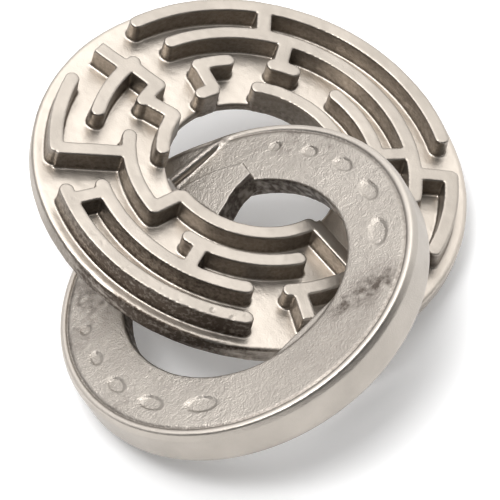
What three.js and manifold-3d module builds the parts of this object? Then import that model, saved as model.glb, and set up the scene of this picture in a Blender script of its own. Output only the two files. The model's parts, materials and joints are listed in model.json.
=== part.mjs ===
// Metal ring disentanglement puzzle: a double-sided maze disc linked through a split ring.
// Units are millimetres, +Z is up, the pair lies linked on the ground plane z = 0.
import * as THREE from 'three';
import { mergeVertices } from 'three/addons/utils/BufferGeometryUtils.js';
import Module from 'manifold-3d';

const wasm = await Module();
wasm.setup();

// ---------------------------------------------------------------- driving dimensions
// maze disc
const LIP_R = 23.0;          // outer radius of the plate
const HOLE_R = 9.0;          // central hole
const FLOOR_T = 2.1;         // plate thickness between the two mazes
const WALL_H = 2.3;          // height of the maze walls above the plate, each side
const WALL_W = 1.55;         // thickness of the maze walls
const FRONT_TRACK_R = { inner: 9.68, second: 13.2, third: 16.95, outer: 20.8 };
const BACK_TRACK_R = { second: 13.4, third: 16.8, outer: 20.2 };
const HOLE_EDGE_T = 1.0;     // thickness left at the hole by the recess on the back
const RECESS_R = 10.9;

// split ring
const RING_R = 19.7;         // outer radius
const RING_HOLE_R = 12.3;    // hole radius
const RING_T = 5.0;          // thickness
const RING_ROUND = 0.9;      // rounding of the two outer edges
const RING_BREAK = 0.35;     // edge break at the hole
const LAND_X = 11.35;        // flat land in the hole, opposite the slit
const DISH_R = 15.2;         // the back is dished from here down to the hole
const DISH_EDGE_Z = 0.1;     // height of the dished back at the hole
const SLIT_W = 7.8;          // opening between the arm ends
const PAD_H = 1.0;           // raised pads on the arm ends
const NEAR_PAD_REACH = 9.6;  // how far each inner pad reaches back from the slit axis
const FAR_PAD_REACH = 7.8;
const PAD_BOTTOM_Z = 0.9;    // underside of the near inner pad, which overhangs the hole
const PAD_OUTER_R = 14.1;    // step between the face and the inner pad
const RAMP_X = 14.7;         // foot of the outer ramp, across the slit axis
const RAMP_START_Y = 11.8;   // where the outer ramp starts, from the slit axis
const DIMPLE_DEPTH = 0.35;   // oval dimples pressed into the face

// guide pins
const PIN_R = 0.95;
const PIN_OUT = 2.1;         // length standing out of the slit face
const PIN_IN = 2.6;          // length seated in the arm
const PIN_BORE_R = 0.97;
const PIN_X = 16.2;          // distance of the pin line from the ring's centre

// resting pose: tilt from the ground, direction the face leans towards, turn about its own axis
const DISC_POSE = { centre: [0, 5.66, 9.05], tilt: 15.74, lean: -10.56, spin: 163.31 };
const RING_POSE = { centre: [-1.33, -8.95, 8.41], tilt: 18.70, lean: 178.54, spin: 127.03 };

const COLOURS = { plate: 0xcfc6bb, steel: 0xc9c3ba };

// ---------------------------------------------------------------- helpers
const rad = (deg) => (deg * Math.PI) / 180;
const polar = (r, deg) => new THREE.Vector2(r * Math.cos(rad(deg)), r * Math.sin(rad(deg)));

function solid(geometry) {
  const g = geometry.clone();
  g.deleteAttribute('normal');
  g.deleteAttribute('uv');
  const m = mergeVertices(g, 1e-4);
  return new wasm.Manifold(new wasm.Mesh({
    numProp: 3,
    vertProperties: Float32Array.from(m.attributes.position.array),
    triVerts: Uint32Array.from(m.index.array),
  }));
}

function toGeometry(manifold) {
  const mesh = manifold.getMesh();
  const positions = new Float32Array((mesh.vertProperties.length / mesh.numProp) * 3);
  for (let i = 0; i < positions.length / 3; i += 1) {
    positions.set(mesh.vertProperties.slice(i * mesh.numProp, i * mesh.numProp + 3), i * 3);
  }
  const g = new THREE.BufferGeometry();
  g.setAttribute('position', new THREE.BufferAttribute(positions, 3));
  g.setIndex(new THREE.BufferAttribute(Uint32Array.from(mesh.triVerts), 1));
  const merged = mergeVertices(g, 1e-4);
  merged.computeVertexNormals();
  return merged;
}

// prism standing on z = z0
function prism(points, z0, height) {
  const shape = new THREE.Shape(points);
  const g = new THREE.ExtrudeGeometry(shape, { depth: height, bevelEnabled: false, steps: 1 });
  g.translate(0, 0, z0);
  return solid(g);
}

function disk(r, z0, height, segments) {
  const points = [];
  for (let i = 0; i < segments; i += 1) {
    points.push(polar(r, (360 * i) / segments));
  }
  return prism(points, z0, height);
}

// ring of revolution about Z from a closed [radius, z] profile
function revolve(profile, segments) {
  const points = profile.map(([r, z]) => new THREE.Vector2(r, z));
  points.push(points[0].clone());
  const g = new THREE.LatheGeometry(points, segments);
  g.rotateX(Math.PI / 2);
  return solid(g);
}

function fixWinding(manifold) {
  return manifold.volume() < 0 ? manifold.mirror([0, 0, 1]) : manifold;
}

// outline of an arc wall with rounded ends; a0 and a1 are the tips, in degrees
function arcOutline(r, width, a0, a1) {
  const h = width / 2;
  const inset = (h / r) * (180 / Math.PI);
  const s = a0 + inset;
  const e = a1 - inset;
  const steps = Math.max(2, Math.ceil((e - s) / 6));
  const points = [];
  for (let i = 0; i <= steps; i += 1) {
    points.push(polar(r + h, s + ((e - s) * i) / steps));
  }
  const endTip = polar(r, e);
  for (const t of [45, 90, 135]) {
    points.push(endTip.clone().add(polar(h, e + t)));
  }
  for (let i = steps; i >= 0; i -= 1) {
    points.push(polar(r - h, s + ((e - s) * i) / steps));
  }
  const startTip = polar(r, s);
  for (const t of [135, 90, 45]) {
    points.push(startTip.clone().add(polar(h, s - t)));
  }
  return points;
}

// straight wall along a radius
function radialOutline(deg, r0, r1, width) {
  const along = polar(1, deg);
  const across = new THREE.Vector2(-along.y, along.x).multiplyScalar(width / 2);
  return [
    along.clone().multiplyScalar(r0).sub(across),
    along.clone().multiplyScalar(r1).sub(across),
    along.clone().multiplyScalar(r1).add(across),
    along.clone().multiplyScalar(r0).add(across),
  ];
}

function poseMatrix({ centre, tilt, lean, spin }) {
  const axis = new THREE.Vector3(-Math.sin(rad(lean)), Math.cos(rad(lean)), 0);
  const q = new THREE.Quaternion().setFromAxisAngle(axis, rad(tilt));
  q.multiply(new THREE.Quaternion().setFromAxisAngle(new THREE.Vector3(0, 0, 1), rad(spin)));
  return new THREE.Matrix4().compose(
    new THREE.Vector3(...centre), q, new THREE.Vector3(1, 1, 1));
}

// ---------------------------------------------------------------- the two mazes
// arcs: [track, first tip, last tip] in degrees; bars: [direction, from track, to track, width]
const FRONT_MAZE = {
  arcs: [
    ['inner', 48.5, 144.5], ['inner', 218, 286.5], ['inner', 307, 324], ['inner', 341.5, 379.5],
    ['second', 6, 55], ['second', 69.5, 127.5], ['second', 201, 246.5],
    ['second', 262.5, 278.5], ['second', 293.5, 314.5], ['second', 331.5, 350.5],
    ['third', 331, 363.5], ['third', 32, 103.5], ['third', 113.5, 150], ['third', 183, 318.5],
    ['outer', 350, 380.5], ['outer', 32, 103.5], ['outer', 128, 152],
    ['outer', 166, 198.5], ['outer', 208.5, 323.5],
  ],
  bars: [
    [19, 'second', 'outer'], [37.5, 'third', 'outer'], [51.7, 'inner', 'second'],
    [79.5, 'second', 'third'], [119.5, 'third', 'outer'], [143.2, 'inner', 'third'],
    [196.4, 'third', 'outer'], [205.2, 'second', 'third'], [272.3, 'second', 'third'],
    [281, 'third', 'outer'], [310.6, 'inner', 'second'], [337.2, 'third', 'outer'],
    [335.2, 'second', 'third'], [345.8, 'inner', 'second'],
  ],
};
const BACK_MAZE = {
  arcs: [
    ['second', 70, 118], ['second', 136, 196], ['second', 214, 262], ['second', 280, 344],
    ['third', 34, 98], ['third', 116, 176], ['third', 192, 258], ['third', 276, 360],
    ['outer', 24, 88], ['outer', 106, 158], ['outer', 176, 240], ['outer', 256, 334],
  ],
  bars: [
    [76, 'second', 'third'], [152, 'third', 'outer'], [222, 'second', 'third'],
    [236, 'third', 'outer'], [322, 'second', 'third'], [80, 'third', 'outer'],
  ],
};

function mazeWalls(maze, tracks, side) {
  const root = 0.4;
  const height = FLOOR_T / 2 + WALL_H - root;
  const z0 = side > 0 ? root : -(root + height);
  const parts = [];
  for (const [track, a0, a1] of maze.arcs) {
    parts.push(prism(arcOutline(tracks[track], WALL_W, a0, a1), z0, height));
  }
  for (const [deg, from, to] of maze.bars) {
    parts.push(prism(radialOutline(deg, tracks[from], tracks[to], WALL_W), z0, height));
  }
  return parts;
}

function makeDisc() {
  const h = FLOOR_T / 2;
  const edge = 0.3;
  let body = fixWinding(revolve([
    [HOLE_R, h - HOLE_EDGE_T], [RECESS_R, h - HOLE_EDGE_T], [RECESS_R, -h],
    [LIP_R - edge, -h], [LIP_R, -h + edge],
    [LIP_R, h - edge], [LIP_R - edge, h], [HOLE_R, h],
  ], 96));
  const front = mazeWalls(FRONT_MAZE, FRONT_TRACK_R, 1);
  const back = mazeWalls(BACK_MAZE, BACK_TRACK_R, -1);
  for (const wall of [...front, ...back]) {
    body = body.add(wall);
  }
  return body;
}

// ---------------------------------------------------------------- split ring
// ring frame: +X points from the centre to the slit, +Z out of the dimpled face
const DIMPLES = [
  // angle from the slit, centre radius, half length, half width
  [56, 16.6, 0.65, 0.6], [71, 16.3, 0.95, 0.65], [87.5, 16.3, 1.3, 0.75],
  [106, 16.2, 1.55, 0.8], [127, 15.7, 1.8, 0.95],
];

function ovalOutline(r, deg, halfLength, halfWidth) {
  const centre = polar(r, deg);
  const points = [];
  for (let i = 0; i < 16; i += 1) {
    const t = (i / 16) * Math.PI * 2;
    const p = new THREE.Vector2(halfWidth * Math.cos(t), halfLength * Math.sin(t));
    points.push(p.rotateAround(new THREE.Vector2(), rad(deg)).add(centre));
  }
  return points;
}

// raised inner pad on the arm end at negative Y
function innerPad(bottom, reach) {
  const slit = SLIT_W / 2;
  const points = [new THREE.Vector2(8.0, -reach), new THREE.Vector2(9.7, -reach - 0.35)];
  const first = (Math.asin((reach + 0.5) / PAD_OUTER_R) * 180) / Math.PI;
  const last = (Math.asin(slit / PAD_OUTER_R) * 180) / Math.PI;
  for (let i = 0; i <= 6; i += 1) {
    points.push(polar(PAD_OUTER_R, -first + ((first - last) * i) / 6));
  }
  points.push(new THREE.Vector2(6.9, -slit), new THREE.Vector2(7.3, -5.3));
  points.push(new THREE.Vector2(7.75, -6.4), new THREE.Vector2(8.0, -7.4));
  return prism(points, bottom, RING_T / 2 + PAD_H - bottom);
}

// outer ramp on the arm end at negative Y: rises towards the slit, its inner side is bevelled
function outerRamp() {
  const top = RING_T / 2;
  const slit = SLIT_W / 2;
  const profile = [
    new THREE.Vector2(RAMP_X, top - 0.4), new THREE.Vector2(RING_R + 1, top - 0.4),
    new THREE.Vector2(RING_R + 1, top + PAD_H), new THREE.Vector2(RAMP_X + 1.0, top + PAD_H),
    new THREE.Vector2(RAMP_X, top),
  ];
  // bar along Y with the bevelled section
  const shape = new THREE.Shape(profile);
  const bar = new THREE.ExtrudeGeometry(shape, { depth: RAMP_START_Y - slit, bevelEnabled: false });
  bar.rotateX(Math.PI / 2);
  bar.translate(0, -slit, 0);
  // wedge that gives the rising top
  const rise = new THREE.Shape([
    new THREE.Vector2(slit - 1, top - 1), new THREE.Vector2(RAMP_START_Y, top - 1),
    new THREE.Vector2(RAMP_START_Y, top - 0.02), new THREE.Vector2(slit - 1, top + PAD_H + 0.1),
  ]);
  const wedge = new THREE.ExtrudeGeometry(rise, { depth: 12, bevelEnabled: false });
  // shape axes (u, v) -> (Y, Z), extruded along X
  wedge.applyMatrix4(new THREE.Matrix4().set(
    0, 0, 1, 10,
    1, 0, 0, 0,
    0, 1, 0, 0,
    0, 0, 0, 1,
  ));
  const rising = solid(wedge).mirror([0, 1, 0]);
  return solid(bar).intersect(rising).intersect(disk(RING_R - 0.25, 0, 6, 96));
}

function makeRing() {
  const t = RING_T / 2;
  const k = RING_ROUND * (1 - Math.SQRT1_2);
  let body = fixWinding(revolve([
    [RING_HOLE_R, DISH_EDGE_Z], [DISH_R, -t],
    [RING_R - RING_ROUND, -t], [RING_R - k, -t + k], [RING_R, -t + RING_ROUND],
    [RING_R, t - RING_ROUND], [RING_R - k, t - k], [RING_R - RING_ROUND, t],
    [RING_HOLE_R + RING_BREAK, t], [RING_HOLE_R, t - RING_BREAK],
  ], 96));
  // flat land in the hole opposite the slit
  const landHeight = t - RING_BREAK - DISH_EDGE_Z;
  const land = disk(RING_HOLE_R + 0.4, DISH_EDGE_Z, landHeight, 96);
  const landBlock = prism([
    new THREE.Vector2(-20, -20), new THREE.Vector2(-LAND_X, -20),
    new THREE.Vector2(-LAND_X, 20), new THREE.Vector2(-20, 20),
  ], DISH_EDGE_Z, landHeight);
  body = body.add(land.intersect(landBlock));
  // the far arm end is the near one turned half round the slit axis, with a full-depth pad
  const nearArm = innerPad(PAD_BOTTOM_Z, NEAR_PAD_REACH).add(outerRamp());
  const farArm = innerPad(-t + RING_BREAK, FAR_PAD_REACH).add(outerRamp()).rotate([180, 0, 0]);
  body = body.add(nearArm).add(farArm);
  const half = SLIT_W / 2;
  body = body.subtract(prism([
    new THREE.Vector2(3, -half), new THREE.Vector2(25, -half),
    new THREE.Vector2(25, half), new THREE.Vector2(3, half),
  ], -6, 12));
  for (const [deg, r, halfLength, halfWidth] of DIMPLES) {
    for (const side of [-1, 1]) {
      const outline = ovalOutline(r, side * deg, halfLength, halfWidth);
      body = body.subtract(prism(outline, t - DIMPLE_DEPTH, 1));
    }
  }
  for (const side of [-1, 1]) {
    body = body.subtract(pinBody(side, PIN_BORE_R, 0.5, PIN_IN + 0.05));
  }
  return body;
}

// round bar along Y on the pin line, from the slit face outwards and into the arm
function pinBody(side, r, out, seated) {
  const half = SLIT_W / 2;
  const points = [];
  for (let i = 0; i < 24; i += 1) {
    points.push(polar(r, 15 * i));
  }
  const g = new THREE.ExtrudeGeometry(new THREE.Shape(points), {
    depth: out + seated, bevelEnabled: false,
  });
  g.rotateX(-Math.PI / 2);
  g.translate(PIN_X, side > 0 ? half - out : -(half + seated), 0);
  return solid(g);
}

// ---------------------------------------------------------------- assembly
const part = new THREE.Group();
part.name = 'ring_disentanglement_puzzle';

function addNode(name, manifold, pose, color, roughness) {
  const geometry = toGeometry(manifold);
  geometry.applyMatrix4(poseMatrix(pose));
  const material = new THREE.MeshStandardMaterial({ color, roughness, metalness: 1.0 });
  const mesh = new THREE.Mesh(geometry, material);
  mesh.name = name;
  part.add(mesh);
}

addNode('maze_disc', makeDisc(), DISC_POSE, COLOURS.plate, 0.34);
addNode('split_ring', makeRing(), RING_POSE, COLOURS.plate, 0.4);
addNode('guide_pin_near', pinBody(-1, PIN_R, PIN_OUT, PIN_IN), RING_POSE, COLOURS.steel, 0.25);
addNode('guide_pin_far', pinBody(1, PIN_R, PIN_OUT, PIN_IN), RING_POSE, COLOURS.steel, 0.25);

export default part;
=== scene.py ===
"""Looks of a cast two-piece maze puzzle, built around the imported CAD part.

Each casting is lofted in its own frame in millimetres, fused and rounded by a voxel remesh,
given its cast surface by moving vertices, and then set into the part's resting pose.
"""
import itertools
import json
import math

import bmesh
import bpy
import numpy as np
from mathutils import Matrix, Vector


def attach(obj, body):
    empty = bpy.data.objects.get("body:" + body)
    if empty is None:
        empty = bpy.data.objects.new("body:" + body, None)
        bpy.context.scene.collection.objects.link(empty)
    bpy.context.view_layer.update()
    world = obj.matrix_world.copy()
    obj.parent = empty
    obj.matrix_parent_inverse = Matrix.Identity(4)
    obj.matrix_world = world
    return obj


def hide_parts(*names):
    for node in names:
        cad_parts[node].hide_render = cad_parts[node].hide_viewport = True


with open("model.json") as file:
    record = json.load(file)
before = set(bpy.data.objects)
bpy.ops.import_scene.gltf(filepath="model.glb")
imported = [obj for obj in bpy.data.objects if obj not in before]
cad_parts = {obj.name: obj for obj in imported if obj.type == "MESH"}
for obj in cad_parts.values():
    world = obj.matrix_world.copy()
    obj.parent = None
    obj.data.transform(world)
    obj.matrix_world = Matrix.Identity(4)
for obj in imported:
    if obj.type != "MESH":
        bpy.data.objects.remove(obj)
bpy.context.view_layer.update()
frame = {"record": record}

MM = 0.001

# ---------------------------------------------------------------- driving dimensions, mm and degrees
# maze disc
LIP_R, HOLE_R = 23.0, 9.0
FLOOR_T, WALL_H = 2.1, 2.3
WALL_FOOT_W, WALL_TOP_W = 1.8, 1.55
FRONT_TRACK_R = {"inner": 9.68, "second": 13.2, "third": 16.95, "outer": 20.8}
BACK_TRACK_R = {"second": 13.4, "third": 16.8, "outer": 20.2}
HOLE_EDGE_T, RECESS_R = 1.0, 10.9

# split ring: its own +X points from the centre to the slit, +Z out of the dimpled face
RING_R, RING_HOLE_R, RING_T = 19.7, 12.3, 5.0
LIP_W = 1.0
LAND_X = 11.35
DISH_R, DISH_EDGE_Z = 15.2, 0.1
SLIT_W = 7.8
PAD_H, PAD_OUTER_R, PAD_BOTTOM_Z = 1.0, 14.1, 0.9
NEAR_PAD_REACH, FAR_PAD_REACH = 9.6, 7.8
RAMP_X, RAMP_START_Y = 14.7, 11.8

# guide pins
PIN_R, PIN_OUT, PIN_IN, PIN_X = 0.95, 2.1, 2.4, 16.2

# resting pose: tilt from the ground, direction the face leans towards, turn about its own axis
DISC_POSE = {"centre": (0.0, 5.66, 9.05), "tilt": 15.74, "lean": -10.56, "spin": 163.31}
RING_POSE = {"centre": (-1.33, -8.95, 8.41), "tilt": 18.70, "lean": 178.54, "spin": 127.03}

# arcs: track, first tip, last tip; bars: direction, from track, to track
FRONT_MAZE = {
    "arcs": [
        ("inner", 48.5, 144.5), ("inner", 218, 286.5), ("inner", 307, 324), ("inner", 341.5, 379.5),
        ("second", 6, 55), ("second", 69.5, 127.5), ("second", 201, 246.5),
        ("second", 262.5, 278.5), ("second", 293.5, 314.5), ("second", 331.5, 350.5),
        ("third", 331, 363.5), ("third", 32, 103.5), ("third", 113.5, 150), ("third", 183, 318.5),
        ("outer", 350, 380.5), ("outer", 32, 103.5), ("outer", 128, 152),
        ("outer", 166, 198.5), ("outer", 208.5, 323.5),
    ],
    "bars": [
        (19, "second", "outer"), (37.5, "third", "outer"), (51.7, "inner", "second"),
        (79.5, "second", "third"), (119.5, "third", "outer"), (143.2, "inner", "third"),
        (196.4, "third", "outer"), (205.2, "second", "third"), (272.3, "second", "third"),
        (281, "third", "outer"), (310.6, "inner", "second"), (337.2, "third", "outer"),
        (335.2, "second", "third"), (345.8, "inner", "second"),
    ],
}
BACK_MAZE = {
    "arcs": [
        ("second", 70, 118), ("second", 136, 196), ("second", 214, 262), ("second", 280, 344),
        ("third", 34, 98), ("third", 116, 176), ("third", 192, 258), ("third", 276, 360),
        ("outer", 24, 88), ("outer", 106, 158), ("outer", 176, 240), ("outer", 256, 334),
    ],
    "bars": [
        (76, "second", "third"), (152, "third", "outer"), (222, "second", "third"),
        (236, "third", "outer"), (322, "second", "third"), (80, "third", "outer"),
    ],
}
# angle from the slit, centre radius, half length, half width; the same on both sides of the slit
DIMPLES = [
    (56, 16.6, 0.65, 0.6), (71, 16.3, 0.95, 0.65), (87.5, 16.3, 1.3, 0.75),
    (106, 16.2, 1.55, 0.8), (127, 15.7, 1.8, 0.95),
]
DIMPLE_DEPTH = 0.17

# stretches of wear, painted shade, a smoother face and a greyer face: direction on the casting and angular
# spread, in degrees
KNOCKED_RIM = (80, 27)
DARK_QUARTER = (70, 40)
CALM_FACE = (175, 40)
CLOUDED_FACE = (183, 34)

VOXEL = 0.12


# ---------------------------------------------------------------- mesh building
def polar(radius, degrees):
    angle = math.radians(degrees)
    return radius * math.cos(angle), radius * math.sin(angle)


def skin(bm, sections, closed=False):
    """Joins equal loops of points into a tube; an open tube gets its two end faces."""
    loops = [[bm.verts.new(p) for p in section] for section in sections]
    count = len(loops[0])
    pairs = list(zip(loops, loops[1:]))
    if closed:
        pairs.append((loops[-1], loops[0]))
    for a, b in pairs:
        for i in range(count):
            j = (i + 1) % count
            bm.faces.new((a[i], a[j], b[j], b[i]))
    if not closed:
        bm.faces.new(loops[0][::-1])
        bm.faces.new(loops[-1])


def wall_section(centre, across, half_foot, half_top, z_foot, z_top):
    """Drafted cross-section of a wall: four corners about its centre line."""
    (x, y), (u, v) = centre, across
    corners = ((-half_foot, z_foot), (half_foot, z_foot), (half_top, z_top), (-half_top, z_top))
    return [(x + u * side, y + v * side, z) for side, z in corners]


def add_arc_wall(bm, radius, start, end, z_foot, z_top):
    """Curved wall with full-round ends."""
    round_deg = math.degrees(WALL_TOP_W / 2 / radius)
    steps = max(4, int((end - start) / 2))
    stations = [(start + round_deg * (1 - math.cos(t)), math.sin(t)) for t in (0.15, 0.5, 0.9, 1.25)]
    first, last = start + round_deg, end - round_deg
    stations += [(first + (last - first) * i / steps, 1.0) for i in range(steps + 1)]
    stations += [(end - round_deg * (1 - math.cos(t)), math.sin(t)) for t in (1.25, 0.9, 0.5, 0.15)]
    skin(bm, [
        wall_section(polar(radius, a), polar(1, a), WALL_FOOT_W / 2 * w, WALL_TOP_W / 2 * w, z_foot, z_top)
        for a, w in stations
    ])


def add_bar_wall(bm, degrees, r0, r1, z_foot, z_top):
    """Straight wall along a radius."""
    across = polar(1, degrees + 90)
    skin(bm, [
        wall_section(polar(r, degrees), across, WALL_FOOT_W / 2, WALL_TOP_W / 2, z_foot, z_top)
        for r in np.linspace(r0, r1, 5)
    ])


def add_prism(bm, outline, z0, z1):
    skin(bm, [[(x, y, z) for x, y in outline] for z in (z0, z1)])


def rounded(profile_corners):
    """Profile points from corners (r, z, radius, steps), each turned into a round stretch."""
    points = []
    count = len(profile_corners)
    for i, (r, z, radius, steps) in enumerate(profile_corners):
        here = Vector((r, z))
        before = (Vector(profile_corners[i - 1][:2]) - here).normalized()
        after = (Vector(profile_corners[(i + 1) % count][:2]) - here).normalized()
        if radius == 0:
            points.append(here)
            continue
        half = before.angle(after) / 2
        centre = here + (before + after).normalized() * (radius / math.sin(half))
        a, b = here + before * (radius / math.tan(half)), here + after * (radius / math.tan(half))
        for k in range(steps + 1):
            point = a.lerp(b, k / steps)
            points.append(centre + (point - centre).normalized() * radius)
    return [(p.x, p.y) for p in points]


def fused(name, bm, voxel, smoothing):
    """One skin over every shell in bm, with soft cast edges. Returns an object still in mm."""
    bmesh.ops.recalc_face_normals(bm, faces=bm.faces)
    rough = bpy.data.meshes.new(name + "_shells")
    bm.to_mesh(rough)
    bm.free()
    shells = bpy.data.objects.new(name + "_shells", rough)
    bpy.context.scene.collection.objects.link(shells)
    remesh = shells.modifiers.new("fuse", "REMESH")
    remesh.mode = "VOXEL"
    remesh.voxel_size = voxel
    smooth = shells.modifiers.new("soften", "SMOOTH")
    smooth.factor = 0.5
    smooth.iterations = smoothing
    evaluated = shells.evaluated_get(bpy.context.evaluated_depsgraph_get())
    mesh = bpy.data.meshes.new_from_object(evaluated)
    mesh.name = name
    bpy.data.objects.remove(shells)
    bpy.data.meshes.remove(rough)
    return mesh


# ---------------------------------------------------------------- surface relief
def smooth_noise(points, size, seed):
    """Value noise between -1 and 1 whose features measure about size."""
    scaled = points / size
    cell = np.floor(scaled).astype(np.int64)
    part = scaled - cell
    part = part * part * (3 - 2 * part)
    total = np.zeros(len(points))
    for corner in itertools.product((0, 1), repeat=3):
        at = cell + corner
        key = at[:, 0] * 73856093 ^ at[:, 1] * 19349663 ^ at[:, 2] * 83492791 ^ seed * 2971215073
        key = (key ^ (key >> 15)) * 2246822519 & 0xFFFFFFFF
        key = (key ^ (key >> 13)) * 3266489917 & 0xFFFFFFFF
        value = (key ^ (key >> 16)) / 0x7FFFFFFF - 1
        weight = np.prod(np.where(np.array(corner) == 1, part, 1 - part), axis=1)
        total += weight * value
    return total


def ridged(points, size, seed):
    return 1 - 2 * np.abs(smooth_noise(points, size, seed))


def step(values, low, high):
    t = np.clip((values - low) / (high - low), 0, 1)
    return t * t * (3 - 2 * t)


def turn_between(angles, centre):
    """Signed difference to a direction, in degrees."""
    return (angles - centre + 180) % 360 - 180


def near_direction(angles, stretch):
    """1 at the middle of a stretch (direction, spread), falling smoothly to 0 away from it."""
    centre, spread = stretch
    return np.exp(-(turn_between(angles, centre) / spread) ** 2)


class Skin:
    """A mesh's points, normals and polar coordinates as arrays, in mm."""

    def __init__(self, mesh):
        self.mesh = mesh
        count = len(mesh.vertices)
        points, normals = np.zeros(count * 3), np.zeros(count * 3)
        mesh.vertices.foreach_get("co", points)
        mesh.vertex_normals.foreach_get("vector", normals)
        self.points, self.normals = points.reshape(-1, 3), normals.reshape(-1, 3)
        self.radius = np.hypot(self.points[:, 0], self.points[:, 1])
        self.angle = np.degrees(np.arctan2(self.points[:, 1], self.points[:, 0]))
        self.offset = np.zeros(count)
        self.layers = {}

    def raise_by(self, amount):
        self.offset += amount

    def paint(self, name, amount):
        self.layers[name] = np.clip(self.layers.get(name, 0) + amount, 0, 1)

    def write(self):
        moved = self.points + self.normals * self.offset[:, None]
        self.mesh.vertices.foreach_set("co", (moved * MM).ravel())
        for name, values in self.layers.items():
            layer = self.mesh.attributes.new(name, "FLOAT", "POINT")
            layer.data.foreach_set("value", values.astype(np.float32))
        self.mesh.polygons.foreach_set("use_smooth", np.ones(len(self.mesh.polygons), bool))
        self.mesh.update()


# ---------------------------------------------------------------- maze disc
def make_disc_mesh():
    bm = bmesh.new()
    half = FLOOR_T / 2
    profile = rounded([
        (HOLE_R, half - HOLE_EDGE_T, 0.2, 2), (RECESS_R, half - HOLE_EDGE_T, 0, 0),
        (RECESS_R, -half, 0.3, 2),
        (LIP_R, -half, 0.4, 4), (LIP_R, half, 0.4, 4), (HOLE_R, half, 0.25, 3),
    ])
    skin(bm, [
        [(*(r * k for k in polar(1, a)), z) for r, z in profile] for a in range(0, 360, 2)
    ], closed=True)
    root, crest = 0.3, half + WALL_H
    for maze, tracks, side in ((FRONT_MAZE, FRONT_TRACK_R, 1), (BACK_MAZE, BACK_TRACK_R, -1)):
        for track, start, end in maze["arcs"]:
            add_arc_wall(bm, tracks[track], start, end, side * root, side * crest)
        for degrees, start, end in maze["bars"]:
            add_bar_wall(bm, degrees, tracks[start], tracks[end], side * root, side * crest)
    return fused("maze_disc_cast", bm, VOXEL, 2)


def finish_disc(mesh):
    s = Skin(mesh)
    half = FLOOR_T / 2
    up = np.abs(s.normals[:, 2])
    rim = step(s.radius, LIP_R - 0.5, LIP_R - 0.1)
    crest = step(np.abs(s.points[:, 2]), half + WALL_H - 0.5, half + WALL_H - 0.15)
    # uneven casting all over
    s.raise_by(0.028 * smooth_noise(s.points, 3.1, 1) + 0.014 * smooth_noise(s.points, 1.1, 2))
    s.raise_by(0.010 * smooth_noise(s.points, 0.45, 3))
    # knocked stretch of the rim: pits in the outer wall's top, scratches along the rim
    worn = near_direction(s.angle, KNOCKED_RIM) * step(s.radius, 19.5, 21)
    pits = step(smooth_noise(s.points, 0.7, 4) + 0.6 * smooth_noise(s.points, 0.35, 5), 0.3, 0.9)
    along = np.stack([s.radius * 3.2, s.angle * 0.16, s.points[:, 2] * 3.2], axis=1)
    streaks = smooth_noise(along, 1.0, 6) + 0.5 * smooth_noise(along, 0.45, 7)
    s.raise_by(-0.11 * worn * pits * crest - 0.05 * rim * np.abs(streaks) * (0.3 + worn))
    # painted shade with some tarnish on the sides of the walls, more at their feet and over one quarter;
    # tarnish over the knocked rim
    steep = 1 - step(up, 0.35, 0.85)
    s.paint("tarnish_and_shade", 0.40 * steep * (1 - rim) * (1 - 0.5 * crest))
    dark_quarter = near_direction(s.angle, DARK_QUARTER) * step(s.radius, 13, 16)
    s.paint("tarnish_and_shade", 0.30 * steep * dark_quarter)
    # painted shade at the feet of the walls
    s.paint("tarnish_and_shade", 0.15 * steep * (1 - step(np.abs(s.points[:, 2]), half, half + 0.9)) * (1 - rim))
    s.paint("tarnish_and_shade", 1.3 * worn * (0.72 + 0.7 * streaks) * np.maximum(steep, rim))
    # painted light: lighter colour on the flat floors between the walls
    s.paint("painted_light", step(up, 0.7, 0.97) * (1 - step(np.abs(s.points[:, 2]), half + 0.3, half + 1.2)))
    s.paint("grain", 0.35 + 0.4 * smooth_noise(s.points, 5.0, 7))
    s.write()


# ---------------------------------------------------------------- split ring
def ring_profile():
    """Section through the ring: flat dimpled face, raised bead round the outer edge, thick satin side."""
    top, bottom = RING_T / 2, -RING_T / 2
    bead = RING_R - LIP_W
    return rounded([
        (RING_HOLE_R, DISH_EDGE_Z, 0.2, 2), (DISH_R, bottom, 0.8, 3), (RING_R, bottom, 1.3, 8),
        (RING_R, top - 0.75, 0.5, 4), (RING_R - 0.3, top + 0.06, 0.3, 4),
        (bead + 0.12, top + 0.06, 0.2, 3), (bead, top - 0.16, 0.08, 2), (bead - 0.35, top, 0.3, 2),
        (RING_HOLE_R, top, 0.25, 3),
    ])


def inner_pad(reach):
    """Outline of the raised inner pad on the arm end at negative Y."""
    slit = SLIT_W / 2
    first, last = (math.degrees(math.asin(y / PAD_OUTER_R)) for y in (reach + 0.5, slit))
    arc = [polar(PAD_OUTER_R, -first + (first - last) * i / 8) for i in range(9)]
    return [(8.0, -reach), (9.7, -reach - 0.35), *arc, (6.9, -slit), (7.3, -5.3), (7.75, -6.4), (8.0, -7.4)]


def outer_ramp():
    """Sections of the bar that rises towards the slit, with a bevelled inner side."""
    top, slit = RING_T / 2, SLIT_W / 2
    sections = []
    for y in np.linspace(RAMP_START_Y, slit, 12):
        rise = PAD_H * (RAMP_START_Y - y) / (RAMP_START_Y - slit)
        outer = math.sqrt((RING_R - 0.3) ** 2 - y * y)
        sections.append([
            (RAMP_X, -y, top - 0.6), (outer, -y, top - 0.6), (outer, -y, top - 0.25 + rise * 0.8),
            (outer - 0.3, -y, top + rise), (RAMP_X + max(rise, 0.05), -y, top + rise), (RAMP_X, -y, top),
        ])
    return sections


def ramp_bead():
    """Round bead that edges the ramp's inner side."""
    top, slit, full_radius = RING_T / 2, SLIT_W / 2, 0.5
    loops = []
    for y in np.linspace(RAMP_START_Y - 0.8, slit, 16):
        rise = PAD_H * (RAMP_START_Y - y) / (RAMP_START_Y - slit)
        radius = full_radius * min(1.0, 0.3 + 2.5 * rise)
        loops.append([
            (RAMP_X + 0.55 + radius * math.cos(a), -y, top + rise - 0.15 + radius * math.sin(a))
            for a in np.linspace(0, math.tau, 17)[:-1]
        ])
    return loops


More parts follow.
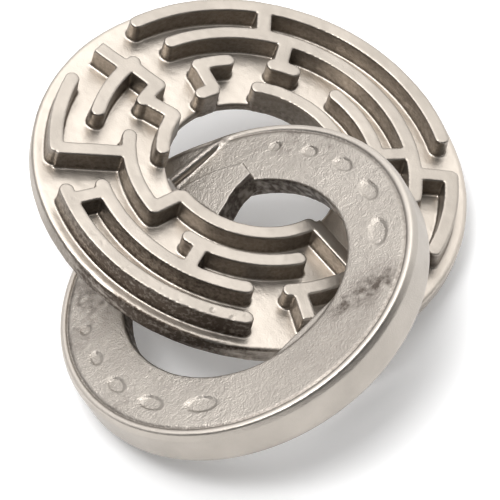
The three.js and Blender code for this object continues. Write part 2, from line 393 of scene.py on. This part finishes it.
def make_ring_mesh():
    bm = bmesh.new()
    profile = ring_profile()
    half = SLIT_W / 2
    sections = []
    for i in range(241):
        section = []
        for r, z in profile:
            start = math.degrees(math.asin(half / r))
            section.append((*polar(r, start + (360 - 2 * start) * i / 240), z))
        sections.append(section)
    skin(bm, sections)
    # flat land in the hole opposite the slit
    reach = math.degrees(math.acos(LAND_X / (RING_HOLE_R + 0.4)))
    land = [polar(RING_HOLE_R + 0.4, 180 - reach + 2 * reach * i / 12) for i in range(13)]
    add_prism(bm, land, DISH_EDGE_Z, RING_T / 2 - 0.3)
    # the far arm end is the near one turned half round the slit axis, with a full-depth pad
    half_turn = Matrix.Rotation(math.pi, 3, "X")
    arms = ((False, NEAR_PAD_REACH, PAD_BOTTOM_Z), (True, FAR_PAD_REACH, -RING_T / 2 + 0.4))
    for turned, reach, pad_bottom in arms:
        pad = [[(x, y, z) for x, y in inner_pad(reach)] for z in (pad_bottom, RING_T / 2 + PAD_H)]
        for part in (pad, outer_ramp(), ramp_bead()):
            skin(bm, [[half_turn @ Vector(p) for p in loop] if turned else loop for loop in part])
    return fused("split_ring_cast", bm, VOXEL, 2)


def press_dimples(s):
    face = step(s.normals[:, 2], 0.7, 0.95) * (s.points[:, 2] > 0)
    for degrees, radius, half_length, half_width in DIMPLES:
        for side in (-1, 1):
            x, y = polar(radius, side * degrees)
            out, along = polar(1, side * degrees), polar(1, side * degrees + 90)
            dx, dy = s.points[:, 0] - x, s.points[:, 1] - y
            across = (dx * out[0] + dy * out[1]) / half_width
            length = (dx * along[0] + dy * along[1]) / half_length
            reach = np.hypot(across, length)
            s.raise_by(-face * DIMPLE_DEPTH * (1 - step(reach, 0.72, 1.12)))


def finish_ring(mesh):
    s = Skin(mesh)
    top = RING_T / 2
    face = step(s.normals[:, 2], 0.6, 0.95) * step(s.points[:, 2], top - 0.4, top - 0.15)
    flat = face * (1 - step(s.radius, RING_R - LIP_W - 0.3, RING_R - LIP_W))
    s.raise_by(0.018 * smooth_noise(s.points, 5.2, 11) + 0.004 * smooth_noise(s.points, 1.3, 12))
    # rough sand-like face, smoother opposite the slit
    calm = near_direction(s.angle, CALM_FACE)
    sand = 0.010 * smooth_noise(s.points, 0.9, 13) + 0.022 * smooth_noise(s.points, 0.38, 14)
    creases = np.clip(ridged(s.points, 1.7, 17) - 0.8, 0, 1)
    s.raise_by(flat * (1 - 0.75 * calm) * (sand - 0.02 * creases))
    press_dimples(s)
    # tarnish blotches on the face: direction from the slit, radius, size, strength
    blotches = [
        (46, 15.5, 3.0, 0.6), (38, 17.5, 2.6, 0.5), (60, 18.0, 2.0, 0.4), (212, 16.8, 1.8, 0.8),
        (203, 14.6, 1.8, 0.75), (206, 16.6, 1.5, 0.6), (196, 13.4, 1.5, 0.5),
        (298, 17.6, 2.6, 0.5), (283, 18.0, 2.2, 0.5), (312, 15.6, 2.0, 0.25), (97, 18.2, 2.0, 0.3),
    ]
    speckle = 0.5 + 0.7 * smooth_noise(s.points, 0.55, 15) + 0.4 * smooth_noise(s.points, 1.9, 16)
    for degrees, radius, size, strength in blotches:
        x, y = polar(radius, degrees)
        near = np.exp(-((s.points[:, 0] - x) ** 2 + (s.points[:, 1] - y) ** 2) / size ** 2)
        s.paint("tarnish_and_shade", flat * strength * near * np.clip(speckle, 0, 1))
    # a darker, greyer stretch of the face opposite the slit
    s.paint("tarnish_and_shade", 0.22 * flat * near_direction(s.angle, CLOUDED_FACE))
    # painted shade along the groove inside the bead
    groove = np.exp(-((s.radius - (RING_R - LIP_W - 0.1)) / 0.22) ** 2) * face
    s.paint("tarnish_and_shade", 0.45 * groove)
    # painted highlight: lighter colour on the bead round the outer edge
    lip = step(s.radius, RING_R - LIP_W + 0.05, RING_R - LIP_W + 0.25)
    s.paint("painted_light", 0.9 * lip * step(s.normals[:, 2], 0.2, 0.8) * (s.points[:, 2] > 0))
    # rough dark walls of the hole and of the pads' steps
    steep = 1 - step(np.abs(s.normals[:, 2]), 0.35, 0.8)
    inner = 1 - step(s.radius, PAD_OUTER_R + 0.2, PAD_OUTER_R + 0.5)
    s.raise_by(steep * inner * (0.03 * smooth_noise(s.points, 0.5, 18)))
    s.paint("tarnish_and_shade", 0.95 * steep * inner * np.clip(0.75 + 0.7 * smooth_noise(s.points, 0.45, 19), 0, 1))
    s.paint("grain", flat * (1 - 0.6 * calm) * 0.9 + 0.1)
    s.write()


# ---------------------------------------------------------------- guide pins
def make_pin_mesh(side):
    """Turned pin with a domed tip, lying along Y on the pin line."""
    half = SLIT_W / 2
    tip, seat = half - PIN_OUT, half + PIN_IN
    dome = 0.35
    stations = [(tip + dome * (1 - math.sin(t)), PIN_R - dome * (1 - math.cos(t))) for t in
                (1.5, 1.2, 0.9, 0.6, 0.3, 0.0)]
    stations += [(half - 0.1, PIN_R), (half, PIN_R), (seat - 0.1, PIN_R), (seat, PIN_R - 0.1)]
    bm = bmesh.new()
    skin(bm, [
        [(PIN_X + r * math.cos(a), side * y, r * math.sin(a)) for a in np.linspace(0, math.tau, 49)[:-1]]
        for y, r in stations
    ])
    bmesh.ops.recalc_face_normals(bm, faces=bm.faces)
    bmesh.ops.scale(bm, vec=(MM, MM, MM), verts=bm.verts)
    mesh = bpy.data.meshes.new("guide_pin")
    bm.to_mesh(mesh)
    bm.free()
    mesh.polygons.foreach_set("use_smooth", [len(p.vertices) == 4 for p in mesh.polygons])
    return mesh


def pose_matrix(pose):
    lean = math.radians(pose["lean"])
    axis = Vector((-math.sin(lean), math.cos(lean), 0))
    tilt = Matrix.Rotation(math.radians(pose["tilt"]), 4, axis)
    spin = Matrix.Rotation(math.radians(pose["spin"]), 4, "Z")
    return Matrix.Translation(Vector(pose["centre"]) * MM) @ tilt @ spin


# ---------------------------------------------------------------- materials
class Nodes:
    """Short names for building a node tree."""

    def __init__(self, tree):
        self.tree = tree

    def add(self, kind, **inputs):
        node = self.tree.nodes.new(kind)
        for key, value in inputs.items():
            self.feed(node.inputs[key.replace("_", " ")], value)
        return node

    def feed(self, socket, value):
        if isinstance(value, bpy.types.NodeSocket):
            self.tree.links.new(value, socket)
        else:
            socket.default_value = value

    def math(self, operation, a, b):
        node = self.tree.nodes.new("ShaderNodeMath")
        node.operation = operation
        self.feed(node.inputs[0], a)
        self.feed(node.inputs[1], b)
        return node.outputs[0]

    def spread(self, value, low, high, to_low, to_high):
        node = self.tree.nodes.new("ShaderNodeMapRange")
        for name, v in (("Value", value), ("From Min", low), ("From Max", high),
                        ("To Min", to_low), ("To Max", to_high)):
            self.feed(node.inputs[name], v)
        return node.outputs["Result"]

    def noise(self, vector, per_mm, detail=3.0, roughness=0.55):
        node = self.add("ShaderNodeTexNoise", Vector=vector, Scale=per_mm / MM, Detail=detail,
                        Roughness=roughness)
        return node.outputs["Fac"]

    def mix(self, factor, a, b):
        node = self.tree.nodes.new("ShaderNodeMix")
        node.data_type = "RGBA"
        self.feed(node.inputs["Factor"], factor)
        self.feed(node.inputs["A"], a)
        self.feed(node.inputs["B"], b)
        return node.outputs["Result"]

    def layer(self, name):
        node = self.tree.nodes.new("ShaderNodeAttribute")
        node.attribute_name = name
        return node.outputs["Fac"]


def nickel(name, bright, darkened, rough_low, rough_high, bump):
    """Nickel over cast metal: cloudy gloss, fine grain, brown-grey tarnish and painted shade, and painted
    light, where the mesh says so.
    """
    material = bpy.data.materials.new(name)
    material.use_nodes = True
    n = Nodes(material.node_tree)
    shader = material.node_tree.nodes["Principled BSDF"]
    place = n.tree.nodes.new("ShaderNodeTexCoord").outputs["Object"]
    cloud = n.noise(place, 0.22, 4)
    speck = n.noise(place, 2.4, 3, 0.65)
    grain = n.noise(place, 5.5, 2, 0.6)
    tarnish_and_shade = n.layer("tarnish_and_shade")
    # darker colour where the mesh's tarnish and painted shade layer is set
    darkening = n.spread(n.math("MULTIPLY", tarnish_and_shade, n.spread(speck, 0.3, 0.65, 0.55, 1.35)), 0, 1, 0, 1)
    tone = n.mix(n.spread(cloud, 0.35, 0.7, 0, 1), (*bright, 1), (*(c * 0.9 for c in bright), 1))
    # painted light: lighter colour where the mesh's painted light layer is set
    tone = n.mix(n.layer("painted_light"), tone, (*(min(1.0, c * 1.3) for c in bright), 1))
    n.feed(shader.inputs["Base Color"], n.mix(darkening, tone, (*darkened, 1)))
    shader.inputs["Metallic"].default_value = 1.0
    rough = n.spread(n.math("ADD", cloud, n.math("MULTIPLY", speck, 0.5)), 0.5, 1.0, rough_low, rough_high)
    n.feed(shader.inputs["Roughness"], n.math("ADD", rough, n.math("MULTIPLY", tarnish_and_shade, 0.15)))
    height = n.math("MULTIPLY", grain, n.math("ADD", n.layer("grain"), 0.25))
    relief = n.add("ShaderNodeBump", Height=height, Distance=bump * MM, Strength=0.6)
    n.feed(shader.inputs["Normal"], relief.outputs["Normal"])
    return material


def turned_steel():
    """Plain pin steel with faint turning marks round its axis."""
    material = bpy.data.materials.new("pin_steel")
    material.use_nodes = True
    n = Nodes(material.node_tree)
    shader = material.node_tree.nodes["Principled BSDF"]
    place = n.tree.nodes.new("ShaderNodeTexCoord").outputs["Object"]
    # texture space along the pins: long across the axis Y, short along it
    stretch = n.add("ShaderNodeMapping", Vector=place)
    stretch.vector_type = "TEXTURE"
    stretch.inputs["Rotation"].default_value = pose_matrix(RING_POSE).to_euler()
    stretch.inputs["Scale"].default_value = (6.7, 0.17, 6.7)
    marks = n.noise(stretch.outputs["Vector"], 1.0, 3)
    n.feed(shader.inputs["Base Color"], n.mix(n.spread(marks, 0.35, 0.7, 0, 1),
                                              (0.66, 0.63, 0.6, 1), (0.5, 0.48, 0.46, 1)))
    shader.inputs["Metallic"].default_value = 1.0
    n.feed(shader.inputs["Roughness"], n.spread(marks, 0.3, 0.7, 0.22, 0.38))
    relief = n.add("ShaderNodeBump", Height=marks, Distance=0.02 * MM, Strength=0.5)
    n.feed(shader.inputs["Normal"], relief.outputs["Normal"])
    return material


# ---------------------------------------------------------------- placing the pieces
def place(name, mesh, material, pose, node, body, slot):
    """Moves the mesh itself to the resting pose, so the piece's object stays at the origin."""
    mesh.transform(pose_matrix(pose))
    mesh.materials.clear()
    mesh.materials.append(material)
    piece = bpy.data.objects.new(name, mesh)
    bpy.context.scene.collection.objects.link(piece)
    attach(piece, body)
    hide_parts(node)


slots = [m["slot"] for m in frame["record"]["materials"]]

disc_mesh = make_disc_mesh()
finish_disc(disc_mesh)
ring_mesh = make_ring_mesh()
finish_ring(ring_mesh)

disc_metal = nickel("disc_nickel", (0.45, 0.405, 0.355), (0.09, 0.07, 0.055), 0.33, 0.44, 0.05)
ring_metal = nickel("ring_nickel", (0.46, 0.42, 0.375), (0.12, 0.10, 0.085), 0.32, 0.44, 0.14)
steel = turned_steel()

place("maze_disc_cast", disc_mesh, disc_metal, DISC_POSE, "maze_disc", "maze_disc", slots[0])
place("split_ring_cast", ring_mesh, ring_metal, RING_POSE, "split_ring", "split_ring", slots[0])
for side, node in ((-1, "guide_pin_near"), (1, "guide_pin_far")):
    place(node + "_turned", make_pin_mesh(side), steel, RING_POSE, node, "split_ring", slots[-1])

# ---------------------------------------------------------------- floor, light and camera
FLOOR_SIZE = 6.0
FLOOR_GLOW = 0.22
SKY_STRENGTH = 1.25
CAMERA_TARGET = (-0.00043, -0.00383, 0.0087)
CAMERA_DISTANCE = 0.4607
CAMERA_ELEVATION, CAMERA_HEADING, CAMERA_ROLL = 49.44, -2.17, 6.68
LENS, SENSOR_W = 324, 36


def make_floor():
    bm = bmesh.new()
    bmesh.ops.create_grid(bm, x_segments=8, y_segments=8, size=FLOOR_SIZE / 2)
    mesh = bpy.data.meshes.new("floor")
    bm.to_mesh(mesh)
    bm.free()
    floor = bpy.data.objects.new("floor", mesh)
    bpy.context.scene.collection.objects.link(floor)
    material = bpy.data.materials.new("white_table")
    material.use_nodes = True
    n = Nodes(material.node_tree)
    shader = material.node_tree.nodes["Principled BSDF"]
    where = n.tree.nodes.new("ShaderNodeTexCoord").outputs["Object"]
    fibre = n.add("ShaderNodeTexNoise", Vector=where, Scale=400.0, Detail=2.0).outputs["Fac"]
    n.feed(shader.inputs["Base Color"], n.mix(fibre, (0.86, 0.86, 0.865, 1), (0.89, 0.89, 0.89, 1)))
    shader.inputs["Roughness"].default_value = 0.7
    shader.inputs["Emission Color"].default_value = (1, 1, 1, 1)
    shader.inputs["Emission Strength"].default_value = FLOOR_GLOW
    mesh.materials.append(material)


def softbox(name, position, target, size, energy):
    data = bpy.data.lights.new(name, "AREA")
    data.shape = "RECTANGLE"
    data.size, data.size_y = size
    data.energy = energy
    lamp = bpy.data.objects.new(name, data)
    bpy.context.scene.collection.objects.link(lamp)
    lamp.location = position
    lamp.rotation_mode = "QUATERNION"
    lamp.rotation_quaternion = (Vector(target) - Vector(position)).to_track_quat("-Z", "Y")


def make_world():
    """Studio surroundings: light behind and above, dark on the side the camera looks from."""
    world = bpy.data.worlds.new("studio")
    bpy.context.scene.world = world
    world.use_nodes = True
    n = Nodes(world.node_tree)
    background = world.node_tree.nodes["Background"]
    direction = n.tree.nodes.new("ShaderNodeTexCoord").outputs["Generated"]
    split = n.add("ShaderNodeSeparateXYZ", Vector=direction)
    back = n.spread(split.outputs["Y"], -0.1, 0.35, 0, 1)
    side = n.spread(split.outputs["X"], -0.5, 0.4, 0, 1)
    glow = n.mix(side, (0.62, 0.62, 0.63, 1), (1.0, 1.0, 1.0, 1))
    n.feed(background.inputs["Color"], n.mix(back, (0.02, 0.02, 0.021, 1), glow))
    background.inputs["Strength"].default_value = SKY_STRENGTH


def make_camera():
    """Long lens from the front, above the table, rolled by a few degrees."""
    heading, elevation = math.radians(CAMERA_HEADING), math.radians(CAMERA_ELEVATION)
    roll = math.radians(CAMERA_ROLL)
    forward = Vector((
        math.sin(heading) * math.cos(elevation),
        math.cos(heading) * math.cos(elevation),
        -math.sin(elevation),
    ))
    level = forward.cross(Vector((0, 0, 1))).normalized()
    up = level.cross(forward) * math.cos(roll) + level * math.sin(roll)
    right = forward.cross(up)
    data = bpy.data.cameras.new("camera")
    data.sensor_width = SENSOR_W
    data.lens = LENS
    data.clip_start, data.clip_end = 0.01, 20
    camera = bpy.data.objects.new("camera", data)
    bpy.context.scene.collection.objects.link(camera)
    rotation = Matrix((right, up, -forward)).transposed().to_4x4()
    place_at = Vector(CAMERA_TARGET) - forward * CAMERA_DISTANCE
    camera.matrix_world = Matrix.Translation(place_at) @ rotation
    bpy.context.scene.camera = camera


make_floor()
make_world()
softbox("overhead", (-0.05, 0.22, 0.68), (0, 0, 0), (0.95, 0.75), 3.0)
softbox("key", (-0.18, -0.12, 0.68), (0, 0, 0), (0.36, 0.36), 3.2)
make_camera()
bpy.context.scene.view_settings.view_transform = "Standard"
